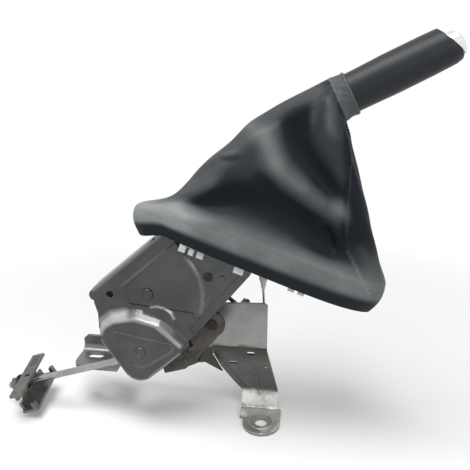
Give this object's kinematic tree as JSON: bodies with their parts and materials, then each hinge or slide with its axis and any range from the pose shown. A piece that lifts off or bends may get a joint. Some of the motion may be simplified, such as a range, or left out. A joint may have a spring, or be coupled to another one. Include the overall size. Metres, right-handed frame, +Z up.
{
  "type": "parking brake lever",
  "caption": "Hand-operated parking brake lever on a pressed steel bracket, with ratchet and release button, leather boot, pull rod and cable equalizer.",
  "frame": {"origin": "centre of the front foot hole on the floor plane, at the underside of the front foot", "axes": "+X toward the front of the vehicle, the way the grip points; +Y to the side of the bracket leg; +Z up"},
  "size_m": [0.4288, 0.0849, 0.3797],
  "materials": {
    "zinc": "grey zinc plate, dulled",
    "zinc_bright": "bright zinc plate",
    "steel_aged": "aged, lightly rusted",
    "steel_dark": "oiled steel",
    "black_plastic": "moulded",
    "pale_plastic": "moulded",
    "grip_skin": "smooth, worn to a sheen",
    "boot_leather": "fine grain, satin",
    "chrome": "plated"
  },
  "bodies": {
    "base": {"base_far_cheek": "zinc_bright", "base_front_leg": "zinc_bright", "base_rear_arm": "zinc_bright", "base_near_cheek": "steel_aged", "ratchet_sector": "steel_dark", "sector_rivets": "zinc", "pivot_pin": "zinc", "pivot_bushes": "steel_dark", "stop_pin": "zinc", "switch_body": "black_plastic", "switch_screws": "zinc", "switch_stalk": "steel_dark", "switch_cap": "pale_plastic"},
    "plunger": {"switch_plunger": "pale_plastic"},
    "lever": {"lever_plate_near": "zinc", "lever_plate_far": "zinc", "lever_tube": "steel_dark", "seam_rivets": "zinc", "grip": "grip_skin", "button_bezel": "chrome", "pawl_pin": "steel_aged", "cable_pin": "zinc", "button_spring": "steel_dark", "pawl_spring": "steel_dark", "boot_panel_near": "boot_leather", "boot_panel_far": "boot_leather", "boot_panel_front": "boot_leather", "boot_panel_rear": "boot_leather", "boot_collar": "boot_leather", "boot_frame": "black_plastic", "boot_clips": "pale_plastic"},
    "release": {"release_button": "chrome", "release_rod": "steel_dark"},
    "pawl_body": {"pawl": "steel_dark"},
    "rod": {"pull_rod": "zinc_bright", "adjuster_nut": "zinc", "lock_nut": "zinc", "seat_washer": "zinc"},
    "equalizer": {"equalizer_yoke": "zinc_bright"}
  },
  "joints": [
    {"name": "lever_swing", "type": "hinge", "parent": "base", "child": "lever", "pos_m": [-0.108, 0, 0.146], "axis": [0, -1, 0], "range_deg": [0, 30]},
    {"name": "plunger_slide", "type": "slide", "parent": "base", "child": "plunger", "axis": [-0.7771, 0, 0.6293], "range_m": [0, 0.003]},
    {"name": "button_slide", "type": "slide", "parent": "lever", "child": "release", "axis": [-0.891, 0, -0.454], "range_m": [0, 0.007], "stiffness_N_per_m": 900, "springref_m": -0.006},
    {"name": "pawl_lift", "type": "hinge", "parent": "lever", "child": "pawl_body", "pos_m": [-0.0499, 0.006, 0.1657], "axis": [0, -1, 0], "range_deg": [0, 17]},
    {"name": "rod_pivot", "type": "hinge", "parent": "lever", "child": "rod", "pos_m": [-0.1163, 0, 0.0872], "axis": [0, -1, 0], "range_deg": [-30, 0]},
    {"name": "equalizer_swing", "type": "hinge", "parent": "rod", "child": "equalizer", "pos_m": [-0.2592, 0, 0.02531], "axis": [-0.3044, -0.2079, 0.9296], "range_deg": [-8, 8]}
  ],
  "couplings": [
    {"joint": "plunger_slide", "follows": "lever_swing", "m_per_rad": 0.0057},
    {"joint": "pawl_lift", "follows": "button_slide", "rad_per_m": 42},
    {"joint": "rod_pivot", "follows": "lever_swing", "ratio": -1}
  ]
}
